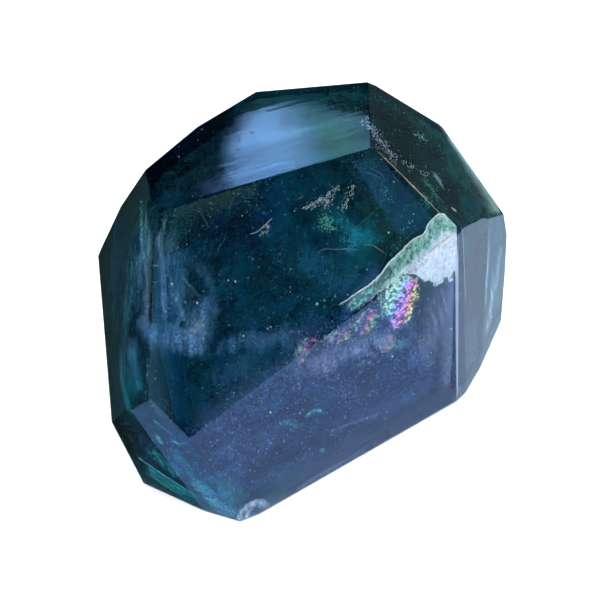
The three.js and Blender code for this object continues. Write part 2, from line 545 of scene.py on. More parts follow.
def haze_finish(name, flat, first, last, cover):
    """A torn veil of fine fibres that all lie one way on their flat, thickest along its middle."""
    material, bench, shader = finish_bench(name)
    s, t = bench.cloth()
    where = bench.place()
    torn = bench.noise(where, 380, 4.0, 0.65, 0.5)
    lie = LIES.get(flat, 0)
    fibre = bench.noise(bench.stretched(where, Flat(flat), 1500, 210, 700, lie), 1.0, 4.0, 0.65, 0.5)
    fine = bench.noise(where, 2600, 3.0, 0.8)
    across = (t * 2 - 1) * 1.4 + (torn - 0.5) * 1.7 + (fibre - 0.5) * 0.8
    soft = bench.most(1 - across * across, 0.0) * (1 - (t * 2 - 1) ** 4)
    ends = s + (torn - 0.5) * 0.5 + (fibre - 0.5) * 0.3
    soft = soft * bench.ease(ends, 0.0, 0.28) * bench.ease(ends, 1.0, 0.72)
    soft = soft * bench.ease(s, 0.0, 0.12) * bench.ease(s, 1.0, 0.88)
    body = soft * (0.45 + bench.ease(fibre, 0.38, 0.66) * 0.9)
    grit = 0.6 + bench.ease(fine, 0.42, 0.62) * 0.7
    tint = bench.mix(bench.held(s + (fine - 0.5) * 0.8), color(*first), color(*last))
    alpha = bench.held(body * grit * (cover * 0.6))
    bench.feed(shader, {"Base Color": tint, "Roughness": 0.7, "Alpha": alpha})
    return material


def frost_finish(name, tint, cover, start, full):
    """A soft, faintly cloudy bloom that thickens across the sheet from its start to where it is full; two
    such sheets are painted light, a reflection under the right rim and a highlight along the right bevel.
    """
    material, bench, shader = finish_bench(name)
    s, t = bench.cloth()
    cloud = bench.noise(bench.place(), 400, 2.0)
    ends = bench.ease(s, 0.0, 0.25) * bench.ease(s, 1.0, 0.9)
    alpha = bench.ease(t, start, full) * ends * (0.8 + cloud * 0.4) * cover
    bench.feed(shader, {"Base Color": color(*tint), "Roughness": 0.7, "Alpha": bench.held(alpha)})
    return material


# ---------------------------------------------------------------- what lies inside

GLOWS_INSIDE = (
    # flat, along, up, depth, radius in millimetres, gain
    ("face", 11, 5, 3, 11, 0.9), ("face", -6, 13, 3, 11, -0.7), ("face", -9, 2, 3, 8, -0.3),
    ("skirt", 15, -8, 1, 13, 3.6), ("skirt", 5, -4, 1, 9, 1.3), ("skirt", -15, -16, 2, 10, 0.3),
    ("face", -19, -2, 3, 8, -0.5), ("face", -17, -3, 2, 7, -0.4), ("toe", -2, -14, 2, 9, 2.5),
    ("left lower", 0, 0, 2, 14, -0.6), ("right shoulder", 16, 0, 2, 15, -0.85),
    ("right shoulder", 17, -5, 4, 14, -0.5), ("crown", 17, 8, 2, 8, 0.3),
    ("skirt", -13, -12, 1, 9, -0.22), ("crown", 0, 12, 2, 12, -0.6), ("face", 3, 13, 2, 6, -0.6),
)


def lay_clouds():
    """Four depths of cloud inside the stone: a pale one, a blue-green one, a dark one and a rear one."""
    blue_green = (0.05, 0.26, 0.28), (0.12, 0.55, 0.60), (0.16, 0.42, 0.62)
    violet = (0.26, 0.26, 0.80), (0.58, 0.50, 1.0), (0.36, 0.44, 0.88)
    near = cloud_finish("near_cloud", blue_green, violet, cover=0.075, scale=110, dust=0.02)
    green = (0.03, 0.25, 0.28), (0.08, 0.68, 0.62), (0.07, 0.47, 0.56)
    blue = (0.07, 0.18, 0.50), (0.22, 0.42, 0.90), (0.20, 0.36, 0.75)
    middle = cloud_finish("middle_cloud", green, blue, cover=0.14, scale=90, offset=0.17, dust=0.02)
    deep_green = (0.012, 0.08, 0.11), (0.026, 0.24, 0.25), (0.022, 0.18, 0.30)
    deep_blue = (0.01, 0.05, 0.14), (0.04, 0.22, 0.36), (0.06, 0.18, 0.40)
    deep = cloud_finish("deep_cloud", deep_green, deep_blue, cover=1.6, scale=70, offset=0.31)
    dark = (0.01, 0.035, 0.035), (0.02, 0.09, 0.085), (0.01, 0.05, 0.07)
    rear = cloud_finish("rear_cloud", dark, dark, cover=0.02, scale=90, offset=0.53, rear=120.0)
    cloud_skin("near_cloud", depth=1.4, edge=24, finish=near)
    cloud_skin("rear_cloud", depth=0.7, edge=80, finish=rear)
    cloud_skin("middle_cloud", depth=3.0, edge=20, finish=middle)
    cloud_skin("deep_cloud", depth=6.0, edge=14, finish=deep)


RAINBOWS = (
    # flat, first hue, how far the hue runs, cover, first and second edge
    ("skirt", 0.40, 0.50, 1.1,
     ((7.6, -0.8), (9.6, -0.4), (11.8, -0.7), (13.4, -2.2)),
     ((7.4, -6.0), (9.4, -7.0), (12.0, -6.3), (13.7, -4.0))),
    ("skirt", 0.40, 0.60, 0.45,
     ((2.6, -3.0), (4.6, -2.6), (7.0, -2.4)),
     ((3.2, -5.2), (5.2, -5.6), (7.4, -5.0))),
    ("skirt", 0.42, 0.55, 0.4,
     ((-1.6, -2.9), (0.6, -3.0), (3.0, -3.2)),
     ((-1.0, -4.4), (1.0, -4.9), (3.2, -5.4))),
    ("skirt", 0.40, 0.60, 0.35,
     ((-5.4, -2.4), (-4.4, -2.5), (-3.4, -2.6)),
     ((-5.4, -4.6), (-4.4, -4.9), (-3.6, -4.6))),
    ("skirt", 0.60, 0.40, 0.28,
     ((6.2, -6.6), (7.4, -6.8), (8.8, -7.2)),
     ((5.6, -8.6), (7.0, -9.2), (8.6, -8.8))),
    ("face", 0.45, 0.40, 0.3,
     ((-4.6, -3.2), (-3.4, -3.2), (-1.6, -3.2)),
     ((-4.8, -5.2), (-3.2, -4.8), (-1.6, -4.5))),
    ("face", 0.38, 0.10, 0.5,
     ((3.4, -1.6), (5.0, -1.4), (8.0, -1.0)),
     ((3.4, -2.9), (5.4, -2.6), (8.0, -2.2))),
    ("face", 0.75, 0.45, 0.12,
     ((-16.9, 4.6), (-15.9, 4.8), (-14.7, 4.9)),
     ((-17.0, 3.2), (-15.9, 3.3), (-14.6, 3.2))),
    ("skirt", 0.80, 0.15, 0.5,
     ((15.6, 0.1), (17.2, 0.2), (19.2, 0.4)),
     ((15.4, -1.9), (17.2, -1.8), (19.0, -1.6))),
    ("skirt", 0.85, 0.20, 0.6,
     ((10.6, -1.6), (12.2, -1.3), (13.6, -1.6)),
     ((10.8, -3.1), (12.4, -3.2), (13.8, -3.0))),
)


def lay_crack():
    """The cleavage crack: its bright rim, the film that dives from it, and the rainbows below."""
    face, skirt = Flat("face"), Flat("skirt")
    rim = ((2.4, -1.4), (3.5, -1.3), (5.5, -1.0), (7.3, -0.8), (9.0, -0.3), (10.8, 0.6), (12.5, 1.1),
           (14.6, 1.8), (16.4, 1.9), (17.7, 2.9), (19.6, 3.1), (21.0, 0.8))
    ridge = ((2.4, -2.9), (3.8, -2.7), (5.8, -2.4), (7.6, -2.1), (9.4, -1.9), (11.2, -1.7), (12.8, -1.5),
             (14.6, -1.3), (16.2, -1.1), (17.6, -1.0), (19.2, -0.8), (20.2, -0.7))
    below, glow_width = 0.55, 0.28
    ridge = tuple((along, up - below) for along, up in ridge)
    green, violet = ((0.13, 0.40, 0.38), (0.48, 0.76, 0.74)), ((0.40, 0.38, 0.80), (0.80, 0.78, 1.0))
    thread("crack_rim", face, 0.12, rim, 0.19, plain_finish("crack_rim", (0.84, 1.0, 1.0), 0.0), seed=4)
    glow_edge = tuple((along, up - glow_width) for along, up in rim)
    film("crack_rim_glow", face, rim, glow_edge, (0.16, 0.16),
         frost_finish("crack_rim_glow", (0.92, 0.96, 1.0), 0.6, 1.0, 0.0))
    film("crack_upper_film", face, rim, ridge, (0.2, 0.35),
         crack_finish("crack_upper", green, 1.75, 2.4, 2.4))
    top = ((9.6, -0.6), (11.1, -0.4), (13.1, -0.1), (15.1, 0.1), (17.6, 0.5), (20.4, 1.0))
    bottom = ((9.8, -0.9), (11.8, -0.9), (13.5, -1.7), (14.3, -3.0), (15.5, -4.2), (17.2, -4.8),
              (19.2, -4.7))
    film("crack_lower_film", skirt, top, bottom, (0.2, 0.3),
         crack_finish("crack_lower", violet, 0.35, 0.8, 0.5))
    for number, (flat, hue, turn, cover, first, second) in enumerate(RAINBOWS):
        label = f"rainbow_film_{number + 1}"
        finish = rainbow_finish(label, hue, turn, cover)
        film(label, Flat(flat), first, second, (0.3, 0.45), finish, 41, 41)


BLUE, LILAC, TEAL, GREY = (0.30, 0.52, 1.0), (0.62, 0.60, 1.0), (0.05, 0.72, 0.85), (0.36, 0.62, 0.84)
VIOLET, CYAN, STRAW, FROST = (0.36, 0.34, 0.95), (0.25, 0.90, 0.95), (0.60, 0.50, 0.30), (0.85, 0.88, 1.0)

HAZES = (
    # name, flat, depth, half width, cover, first and last colour, stops
    ("left_strand", "left shoulder", 0.5, 0.9, 0.42, GREY, LILAC,
     ((-6.6, 7.7), (-4.2, 5.1), (-2.4, 2.4), (-0.8, 0.2), (0.8, -2.2), (1.9, -3.7))),
    ("left_strand_2", "face", 0.5, (0.4, 0.6), 0.6, GREY, BLUE,
     ((-14.1, 18.1), (-15.3, 16.5), (-16.3, 15.0), (-17.0, 12.8), (-17.9, 10.1), (-18.8, 7.4),
      (-19.7, 5.8))),
    ("veil_top", "left shoulder", 0.9, 1.2, 0.5, GREY, GREY,
     ((-8.2, 7.6), (-6.4, 5.6), (-4.6, 3.0), (-3.0, 0.6))),
    ("veil_body", "face", 0.6, (1.5, 3.8), 0.22, GREY, BLUE,
     ((-13.9, 17.0), (-15.2, 14.4), (-15.8, 12.1), (-16.5, 9.0), (-17.5, 5.8), (-18.0, 3.8))),
    ("outer_mist", "left shoulder", 1.0, 1.6, 0.3, GREY, BLUE,
     ((-8.0, 6.6), (-5.3, 3.4), (-3.4, 0.0), (-0.4, -3.6))),
    ("outer_tag", "left shoulder", 0.8, 0.25, 0.5, GREY, GREY,
     ((-6.8, 4.0), (-5.9, 4.2), (-4.6, 4.5), (-3.3, 4.5))),
    ("outer_low", "left shoulder", 0.8, 1.6, 0.6, BLUE, BLUE, ((3.4, -3.4), (1.2, -3.4), (-0.8, -3.0))),
    ("bright_patch", "face", 1.0, (2.0, 3.0), 0.5, BLUE, LILAC,
     ((-12.8, 7.2), (-13.8, 5.3), (-15.0, 4.1), (-16.0, 3.0), (-18.0, 2.2))),
    ("patch_arc", "face", 1.0, 1.0, 0.2, GREY, BLUE,
     ((-14.2, 12.8), (-13.3, 11.8), (-12.7, 10.3), (-12.0, 8.5), (-12.1, 6.7), (-12.8, 5.0), (-13.4, 3.5))),
    ("inner_arc", "face", 1.2, 0.25, 0.5, GREY, BLUE, ((-15.2, 10.4), (-14.4, 8.5), (-13.8, 6.4))),
    ("inner_strand", "face", 0.7, 0.5, 0.4, GREY, BLUE,
     ((-17.1, 10.4), (-16.6, 7.5), (-16.9, 5.8), (-18.9, 5.0))),
    ("low_patch", "face", 0.6, 2.0, 0.6, BLUE, BLUE,
     ((-22.4, 5.8), (-20.8, 5.0), (-19.2, 4.0), (-17.8, 2.9), (-16.3, 2.1), (-14.6, 1.5))),
    ("speckled_patch", "face", 1.2, 1.5, 0.35, BLUE, LILAC,
     ((-15.4, 0.2), (-12.8, 0.0), (-11.2, -0.1), (-9.3, -0.5), (-7.4, -1.3), (-4.4, -2.0), (-1.4, -2.8))),
    ("speckled_low", "face", 1.2, 2.2, 0.2, VIOLET, BLUE, ((-17.0, -4.0), (-13.1, -2.9), (-9.0, -4.0))),
    ("ridge_mist", "face", 1.2, 1.6, 0.3, BLUE, VIOLET,
     ((-11.2, -1.9), (-6.7, -2.3), (-3.3, -2.7), (1.4, -2.6))),
    ("high_right_mist", "face", 1.4, 1.7, 0.35, BLUE, TEAL,
     ((11.3, 13.6), (12.8, 9.4), (13.6, 5.7), (14.2, 2.4))),
    ("teal_glow", "face", 1.5, 1.3, 0.6, TEAL, TEAL, ((6.6, 6.4), (9.8, 4.4), (12.7, 3.3), (14.8, 3.4))),
    ("right_teal", "face", 1.5, 2.2, 0.6, TEAL, TEAL, ((4.6, 4.8), (10.0, 4.8), (14.3, 4.4))),
    ("right_teal_2", "face", 1.5, 1.2, 0.5, TEAL, TEAL, ((5.4, 9.8), (7.2, 6.9), (8.6, 3.0))),
    ("middle_blue", "face", 1.6, 2.4, 0.25, TEAL, VIOLET, ((-1.4, 7.0), (3.1, 2.2), (5.6, -1.4))),
    ("violet_mist", "face", 1.0, 1.3, 0.35, VIOLET, VIOLET, ((2.4, -2.8), (6.7, -1.2), (10.4, 0.6))),
    ("shoulder_line", "left shoulder", 0.8, 0.8, 0.4, TEAL, TEAL,
     ((-2.4, -7.4), (-1.3, -8.6), (-0.3, -9.6), (0.9, -10.7), (2.6, -11.7), (4.2, -12.5), (5.8, -13.2))),
    ("shoulder_teal", "left shoulder", 1.0, 2.2, 0.38, BLUE, TEAL,
     ((-0.6, -5.4), (1.0, -7.6), (3.0, -9.4), (6.0, -11.6))),
    ("shoulder_mist", "left shoulder", 1.0, 1.3, 0.22, GREY, TEAL,
     ((-8.0, 4.6), (-4.6, -0.8), (-2.9, -4.0), (-0.9, -7.8))),
    ("skirt_bright", "skirt", 0.5, 2.8, 0.4, LILAC, LILAC,
     ((18.4, -4.2), (15.7, -7.7), (13.8, -10.3), (11.0, -14.6))),
    ("skirt_ridge", "skirt", 0.6, 1.9, 0.45, LILAC, LILAC,
     ((-7.6, -5.4), (-0.8, -6.1), (3.7, -6.5), (9.6, -7.2))),
    ("skirt_middle", "skirt", 0.8, 2.0, 0.25, BLUE, VIOLET,
     ((15.0, -15.6), (9.6, -16.7), (5.0, -16.5), (-1.6, -14.8))),
    ("skirt_left", "skirt", 0.8, 2.2, 0.12, VIOLET, BLUE, ((-19.4, -9.6), (-14.0, -10.8), (-6.8, -12.6))),
    ("skirt_corner", "skirt", 0.8, 1.8, 0.3, TEAL, TEAL, ((-20.4, -12.3), (-18.6, -15.6), (-16.4, -19.2))),
    ("skirt_bottom", "skirt", 0.8, 1.8, 0.25, BLUE, BLUE,
     ((-15.8, -17.2), (-8.5, -18.0), (-2.5, -18.3), (5.0, -18.7))),
    ("skirt_wisp", "skirt", 0.5, 0.4, 0.6, TEAL, TEAL, ((-6.2, -11.6), (-4.7, -11.4), (-3.1, -12.5))),
    ("skirt_wisp_2", "skirt", 0.5, 0.4, 0.45, TEAL, TEAL, ((-10.0, -10.6), (-8.5, -11.1), (-7.1, -12.8))),
    ("skirt_fan", "skirt", 0.4, 0.9, 0.4, LILAC, TEAL,
     ((5.6, -6.4), (7.0, -8.0), (9.0, -9.2), (11.4, -9.8))),
    ("skirt_fan_2", "skirt", 0.4, 0.5, 0.4, LILAC, LILAC, ((2.4, -6.2), (4.2, -7.8), (6.0, -9.8))),
    ("skirt_blot", "skirt", 0.5, 0.35, 0.6, TEAL, TEAL, ((-5.5, -16.8), (-4.9, -16.9), (-4.4, -17.1))),
    ("skirt_line", "skirt", 0.4, 0.3, 0.2, LILAC, LILAC, ((-4.9, -14.9), (-0.3, -15.6), (5.5, -16.8))),
    ("hem_line", "skirt", 0.3, 0.4, 0.4, LILAC, BLUE, ((-10.5, -19.9), (-4.7, -19.8), (2.0, -19.8))),
    ("toe_dash", "toe", 0.5, 0.16, 1.0, TEAL, CYAN, ((-9.8, -0.5), (-8.4, -1.7), (-6.9, -2.8))),
    ("toe_blot", "toe", 0.5, 0.4, 1.0, CYAN, TEAL, ((-9.5, -3.3), (-9.1, -4.2), (-8.8, -5.1))),
    ("toe_blot_2", "toe", 0.5, 0.35, 0.9, TEAL, TEAL, ((-7.7, -3.5), (-7.0, -3.8), (-6.3, -4.2))),
    ("toe_middle", "toe", 0.8, 0.9, 0.35, TEAL, TEAL, ((-7.6, -4.6), (-5.7, -8.7), (-4.1, -12.2))),
    ("toe_low", "toe", 0.5, (1.4, 2.2), 0.75, TEAL, BLUE, ((-5.2, -9.6), (-2.4, -12.9), (0.8, -16.0))),
    ("flank_line", "toe flank", 0.4, 0.2, 1.0, CYAN, CYAN,
     ((-10.4, -6.6), (-8.7, -8.1), (-6.7, -8.9), (-3.5, -10.1), (0.6, -11.4))),
    ("flank_straw", "toe flank", 0.5, 0.18, 0.8, STRAW, STRAW,
     ((-9.6, -10.8), (-6.8, -11.3), (-3.4, -12.7))),
    ("flank_fill", "toe flank", 0.6, 1.9, 0.6, TEAL, TEAL, ((-9.0, -9.6), (-5.0, -11.0), (-0.6, -12.3))),
    ("flank_fill_2", "toe flank", 0.6, 1.7, 0.35, TEAL, TEAL, ((-7.2, -4.0), (-5.1, -6.5), (-2.6, -8.6))),
    ("flank_streak", "right flank", 0.4, 0.6, 1.0, GREY, GREY,
     ((23.8, -5.0), (22.3, -8.4), (20.3, -11.6), (18.0, -15.2))),
    ("flank_streak_2", "right flank", 0.4, 1.2, 0.75, GREY, FROST,
     ((23.9, -11.0), (21.5, -14.2), (19.1, -16.8), (16.3, -18.7))),
    ("chip_top", "toe chip", 0.25, 0.6, 0.8, FROST, FROST,
     ((-14.6, -12.6), (-13.5, -12.1), (-12.2, -12.7), (-11.0, -14.0))),
    ("chip_arc", "toe chip", 0.25, (0.6, 0.9), 1.0, FROST, BLUE,
     ((-16.0, -14.4), (-15.6, -13.2), (-14.9, -12.4), (-13.9, -12.2), (-12.7, -12.7), (-11.6, -13.7),
      (-10.8, -14.8))),
    ("chip_fan", "toe chip", 0.25, 0.7, 0.8, FROST, BLUE,
     ((-15.0, -14.8), (-14.5, -13.6), (-14.0, -12.8), (-13.2, -12.2))),
    ("edge_streak", "right edge", 0.4, 1.1, 0.6, FROST, GREY,
     ((26.9, -10.2), (24.2, -11.7), (22.0, -14.0), (19.8, -15.3), (17.3, -17.3))),
)


# A bloom lies between two edges, or to both sides of one line by a half width.
BLOOMS = (
    # name, flat, depths, tint, cover, where it starts and is full, rows, columns, edge, edge or half width
    # painted reflection: a pale film under the right rim paints the rim's pale sheen
    ("rim_painted_reflection_film", "right rim", (0.4, 0.4), (0.62, 0.80, 0.72), 0.5, 0.0, 1.0, 41, 21,
     ((24.4, -5.2), (21.2, -8.9), (18.5, -11.9), (16.2, -14.5), (13.6, -15.2)),
     ((24.1, -6.9), (22.5, -11.0), (20.7, -15.0), (18.8, -18.2), (17.0, -19.5))),
    # painted highlight: a thin pale lilac film just under the right bevel paints its edge highlight
    ("bevel_painted_highlight_film", "right bevel", (0.12, 0.12), (0.60, 0.64, 0.95), 0.5, -1.0, 0.0, 41, 9,
     ((19.5, 0.6), (16.9, -7.1), (14.3, -14.6), (12.0, -21.2)),
     ((18.8, 0.5), (16.3, -7.2), (13.85, -14.7), (11.8, -21.3))),
    ("lit_plane", "face", (0.35, 0.35), (0.04, 0.24, 0.62), 0.1, -1.0, 0.0, 41, 21,
     ((9.6, 15.6), (10.4, 13.7), (11.0, 12.2), (11.6, 9.9), (12.0, 7.3), (12.6, 4.6), (13.6, 2.2)),
     ((13.4, 14.4), (14.4, 12.2), (15.5, 9.6), (16.4, 7.4), (17.3, 5.2), (18.2, 3.2), (18.6, 1.4))),
    ("skirt_glow", "skirt", (0.4, 0.4), (0.50, 0.54, 1.0), 0.26, 0.0, 1.0, 41, 21,
     ((17.6, -1.4), (16.2, -4.9), (14.8, -9.2), (13.4, -13.6), (11.6, -19.0)),
     ((19.7, -1.4), (18.4, -5.3), (17.2, -9.7), (15.9, -14.2), (14.2, -19.2))),
    ("edge_glow", "right edge", (0.5, 0.5), (0.80, 0.92, 1.0), 0.1, 0.0, 1.0, 41, 15,
     ((26.4, -11.6), (24.2, -13.2), (22.0, -15.0), (19.6, -17.0)), 1.8),
    ("flank_glow", "right flank", (0.5, 0.5), (0.35, 0.50, 1.0), 0.1, 0.0, 0.6, 41, 15,
     ((14.0, -12.0), (12.8, -15.5), (11.6, -19.0)), 2.0),
    ("skirt_hem", "skirt", (0.35, 0.35), (0.035, 0.04, 0.10), 0.55, 0.0, 0.45, 61, 21,
     ((-14.0, -17.4), (-8.2, -17.2), (-2.5, -17.0), (6.0, -17.0), (12.0, -17.0), (16.0, -17.4)),
     ((-13.0, -20.2), (-8.0, -20.2), (-1.6, -20.2), (6.2, -20.2), (12.5, -20.2), (15.2, -20.2))),
    ("ridge_bloom", "face", (0.2, 0.6), (0.03, 0.11, 0.11), 0.24, 1.0, 0.0, 41, 21,
     ((-16.0, 18.6), (-12.2, 17.8), (-9.5, 17.5), (-5.7, 17.0), (-2.0, 16.4)),
     ((-16.0, 14.4), (-12.4, 14.0), (-9.5, 13.6), (-5.7, 13.2), (-2.0, 12.9))),
    ("left_fill", "face", (0.3, 0.6), (0.03, 0.13, 0.22), 0.35, 1.0, 0.0, 41, 21,
     ((-16.4, 18.6), (-17.3, 16.4), (-18.6, 13.6), (-20.0, 10.3), (-21.3, 7.0), (-22.8, 3.5), (-24.0, 0.3),
      (-24.9, -3.2), (-25.0, -5.0)),
     ((-13.2, 18.4), (-13.9, 16.2), (-15.0, 13.2), (-16.4, 9.8), (-17.6, 6.4), (-18.6, 3.0), (-19.6, -1.0),
      (-20.6, -4.6), (-21.0, -6.2))),
    ("ridge_fill", "face", (0.3, 0.6), (0.05, 0.12, 0.24), 0.3, 1.0, 0.0, 41, 21,
     ((-22.0, -7.4), (-19.0, -7.2), (-15.3, -6.8), (-10.8, -6.2), (-6.2, -5.6), (-1.6, -5.1)),
     ((-21.0, -4.0), (-18.1, -3.6), (-14.5, -3.2), (-10.0, -2.6), (-5.4, -2.0), (-1.7, -1.8))),
)


def lay_hazes():
    """The pale strands and patches within the stone, and the blooms under its flats and ridges, among them
    a painted reflection under the right rim and a painted highlight along the right bevel.
    """
    for name, flat, depth, half, cover, first, last, stops in HAZES:
        near, far = ribbon_edges(stops, half)
        finish = haze_finish(name, flat, first, last, cover)
        film(name, Flat(flat), near, far, (depth, depth), finish, 41, 15)
    for name, flat, depths, tint, cover, start, full, rows, columns, first, second in BLOOMS:
        finish = frost_finish(name, tint, cover, start, full)
        if isinstance(second, float):
            first, second = ribbon_edges(first, second)
        film(name, Flat(flat), first, second, depths, finish, rows, columns)


THREADS = (
    # name, flat, depth, width, colour name, stops
    ("long_hairline", "face", 0.5, 0.08, "faint",
     ((5.8, 6.3), (7.6, 6.2), (8.8, 6.4), (10.5, 6.9), (11.8, 7.2))),
    ("low_arc", "face", 0.4, 0.09, "lilac",
     ((1.9, 5.2), (2.6, 5.6), (3.5, 5.5), (4.7, 4.9), (6.2, 4.3), (7.4, 3.6))),
    ("tan_arc", "face", 0.5, 0.1, "tan", ((8.5, 3.8), (9.4, 3.4), (10.2, 2.4), (10.7, 1.7))),
    ("high_arc", "face", 0.4, 0.1, "faint lilac",
     ((10.7, 12.4), (12.0, 11.7), (13.0, 10.8), (13.4, 10.2), (13.4, 9.6))),
    ("high_arc_2", "face", 0.4, 0.07, "faint lilac",
     ((12.4, 12.3), (13.3, 11.3), (13.8, 10.4), (13.9, 9.8))),
    ("left_hairline", "face", 0.4, 0.07, "faint", ((-10.3, 16.3), (-10.0, 14.9), (-9.9, 14.0))),
    ("beaded_hairline", "face", 0.5, 0.08, "faint",
     ((-10.8, 10.4), (-10.1, 10.7), (-9.6, 11.3), (-8.6, 11.9), (-7.8, 12.8))),
    ("low_hairline", "face", 0.5, 0.07, "faint teal", ((-11.5, 9.2), (-10.9, 9.8))),
    ("high_hairline", "face", 0.5, 0.06, "faint teal",
     ((-5.2, 16.1), (-6.1, 15.4), (-7.0, 14.5), (-7.6, 13.8))),
    ("crack_hairline", "face", 0.4, 0.08, "faint", ((13.5, 2.1), (14.5, 2.4), (15.4, 2.7))),
    ("white_streak", "face", 0.4, 0.11, "white", ((-5.3, 11.2), (-4.1, 11.1), (-3.1, 11.4), (-1.8, 11.8))),
    ("tan_streak", "face", 0.6, 0.1, "tan", ((1.9, 12.5), (3.1, 12.5))),
    ("dash", "right shoulder", 0.3, 0.3, "white", ((12.6, -9.6), (12.6, -10.6))),
    # painted reflection: a tan line just under the right shoulder paints the warm reflection in its worn
    # edge beside the face
    ("edge_painted_reflection_thread", "right shoulder", 0.12, 0.2, "tan",
     ((12.0, 3.6), (11.4, -0.1), (10.7, -4.0), (10.0, -8.0))),
    # painted highlight: a violet line just under the right bevel paints its purple-white edge highlight
    ("bevel_painted_highlight_thread", "right bevel", 0.15, 0.14, "violet", ((20.0, 0.1), (19.4, -3.0), (17.8, -9.5))),
)

# violet colours only the painted highlight along the right bevel; tan colours tan streaks and also the
# painted reflection along the right shoulder's edge
TINTS = {
    "faint": (0.10, 0.17, 0.23), "faint lilac": (0.14, 0.13, 0.28), "faint teal": (0.03, 0.18, 0.20),
    "pale": (0.36, 0.62, 0.78), "lilac": (0.30, 0.28, 0.62), "violet": (0.50, 0.48, 0.85),
    "tan": (0.52, 0.42, 0.24), "teal": (0.06, 0.50, 0.54), "white": (0.92, 0.97, 1.0),
    "frost": (0.72, 0.70, 0.98), "green": (0.22, 0.75, 0.58),
}

CLUSTERS = (
    # name, flat, depth, colour name, how many, smallest and largest grain, spread, the way they lie, stops
    ("streak_grains", "face", 0.4, "white", 34, 0.1, 0.2, 0.26, 40,
     ((-3.7, 10.5), (-2.7, 10.9), (-3.1, 11.4))),
    ("frayed_grains", "face", 0.4, "white", 120, 0.11, 0.21, 0.42, 30,
     ((2.6, 11.2), (3.7, 11.1), (4.7, 11.3), (5.4, 11.0), (6.8, 11.7), (7.6, 11.6))),
    ("frayed_branch", "face", 0.4, "white", 40, 0.11, 0.2, 0.36, 30,
     ((5.1, 10.1), (5.7, 10.6), (6.7, 10.9))),
    ("side_grains", "face", 0.4, "white", 64, 0.1, 0.2, 0.38, 35,
     ((7.3, 9.1), (8.0, 9.5), (8.4, 10.1), (9.3, 10.6), (9.9, 11.0))),
    ("green_crust", "face", 0.7, "green", 150, 0.1, 0.26, 0.8, None, ((4.6, 9.3), (5.2, 7.4))),
    ("low_green_crust", "face", 0.9, "teal", 80, 0.1, 0.26, 0.45, None, ((6.1, 5.7), (7.6, 4.4))),
    ("shoulder_crust", "right shoulder", 0.3, "frost", 300, 0.1, 0.22, 0.95, None,
     ((15.9, 5.6), (14.9, 3.9), (14.0, 2.3), (13.2, 0.6))),
    ("shoulder_streak", "right shoulder", 0.3, "white", 55, 0.1, 0.24, 0.45, None,
     ((13.9, -0.9), (14.4, -3.1), (14.9, -5.4))),
    ("shoulder_green", "right shoulder", 0.5, "green", 90, 0.1, 0.22, 0.55, None,
     ((13.6, -4.8), (13.4, -5.9), (12.5, -7.2))),
    ("green_blobs", "right shoulder", 0.4, "green", 34, 0.14, 0.3, 0.3, None,
     ((20.3, -3.0), (21.0, -4.1), (20.8, -5.0))),
    ("shoulder_patch", "right shoulder", 0.3, "frost", 150, 0.08, 0.2, 0.4, None,
     ((16.1, -6.6), (15.3, -7.9))),
    ("teal_crust", "face", 0.7, "teal", 110, 0.1, 0.26, 0.6, None,
     ((15.3, 3.9), (14.4, 3.5), (12.5, 1.6), (11.2, 1.2))),
    ("high_teal_crust", "face", 0.8, "teal", 80, 0.1, 0.22, 0.6, None, ((18.2, 5.5), (18.2, 4.4))),
    ("pale_crust", "face", 0.8, "pale", 110, 0.08, 0.18, 0.7, None,
     ((12.7, 8.5), (13.9, 8.7), (13.1, 7.7), (14.6, 7.7))),
    ("toe_specks", "toe flank", 0.5, "teal", 70, 0.1, 0.26, 0.5, None,
     ((-6.4, -4.9), (-5.8, -6.4), (-5.2, -7.1))),
    ("bevel_specks", "skirt", 0.4, "teal", 26, 0.1, 0.2, 0.5, None,
     ((14.9, -10.8), (15.7, -13.3), (14.8, -15.0))),
    ("corner_beads", "face", 0.6, "green", 24, 0.12, 0.26, 0.25, None,
     ((-23.1, 3.1), (-23.8, 1.8), (-24.3, 0.4), (-24.7, -0.8))),
    ("left_sparkles", "left shoulder", 0.5, "green", 50, 0.08, 0.2, 0.45, None,
     ((-8.8, 7.7), (-7.5, 6.1), (-6.0, 5.0))),
)

# Grains that stand alone on each flat: along, up and breadth, in millimetres.
SPECKS = {
    "face": (
        (12.0, 3.9, 0.4), (-0.1, -0.1, 0.45), (-6.8, -0.1, 0.42), (-10.5, 0.4, 0.34), (-15.4, 2.3, 0.3),
        (-14.6, 6.5, 0.36), (-16.8, 9.9, 0.4), (-9.9, 7.3, 0.4), (-9.1, 6.8, 0.36), (-5.4, 13.6, 0.3),
        (-0.1, 11.5, 0.3), (1.2, 11.4, 0.26), (-0.4, 13.1, 0.22), (-1.8, 5.2, 0.26), (-2.9, 2.7, 0.24),
        (16.0, 4.6, 0.3), (14.9, 9.3, 0.3),
    ),
    "skirt": (
        (7.6, -10.1, 0.5), (-10.5, -8.6, 0.5), (-6.7, -10.7, 0.42), (4.2, -9.3, 0.34), (12.4, -12.6, 0.3),
        (4.6, -17.4, 0.4), (2.4, -19.8, 0.36), (-11.5, -12.4, 0.3), (-15.1, -14.3, 0.28),
        (16.6, -10.8, 0.34),
    ),
}

DUST = (
    # flat, colour name, how many grains, how deep they go in millimetres
    ("face", "pale", 400, 2.5), ("skirt", "lilac", 1050, 1.4), ("skirt", "frost", 130, 1.2),
    ("face", "lilac", 460, 2), ("skirt", "teal", 110, 1.6), ("toe", "teal", 160, 1.5),
    ("toe flank", "teal", 160, 2), ("crown", "pale", 24, 2), ("left shoulder", "teal", 110, 2.5),
    ("right shoulder", "pale", 120, 3), ("right rim", "pale", 50, 2), ("right flank", "pale", 60, 2),
    ("back", "frost", 160, 3), ("back left", "pale", 120, 3), ("back right", "teal", 120, 3),
    ("right back", "frost", 120, 3),
)


